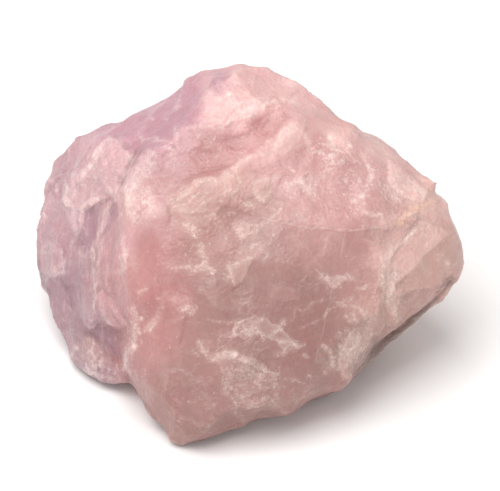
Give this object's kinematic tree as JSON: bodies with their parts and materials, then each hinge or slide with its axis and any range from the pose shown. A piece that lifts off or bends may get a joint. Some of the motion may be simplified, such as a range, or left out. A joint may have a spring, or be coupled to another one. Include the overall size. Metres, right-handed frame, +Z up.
{
  "type": "rose quartz chunk",
  "caption": "Rough broken chunk of rose quartz with a broad sloping face, a side ridge and a flat break that it lies on.",
  "frame": {"origin": "middle of the chunk's outline seen from above, on the flat break it lies on", "axes": "+Z up, +X along the chunk's length with its blunt end at +X, the broad face looking towards -Y and up"},
  "size_m": [0.0998, 0.076, 0.0654],
  "materials": {
    "rose_quartz": "cloudy pink quartz, glassy on its breaks"
  },
  "bodies": {
    "root": {"rose_quartz_chunk": "rose_quartz"}
  },
  "joints": []
}
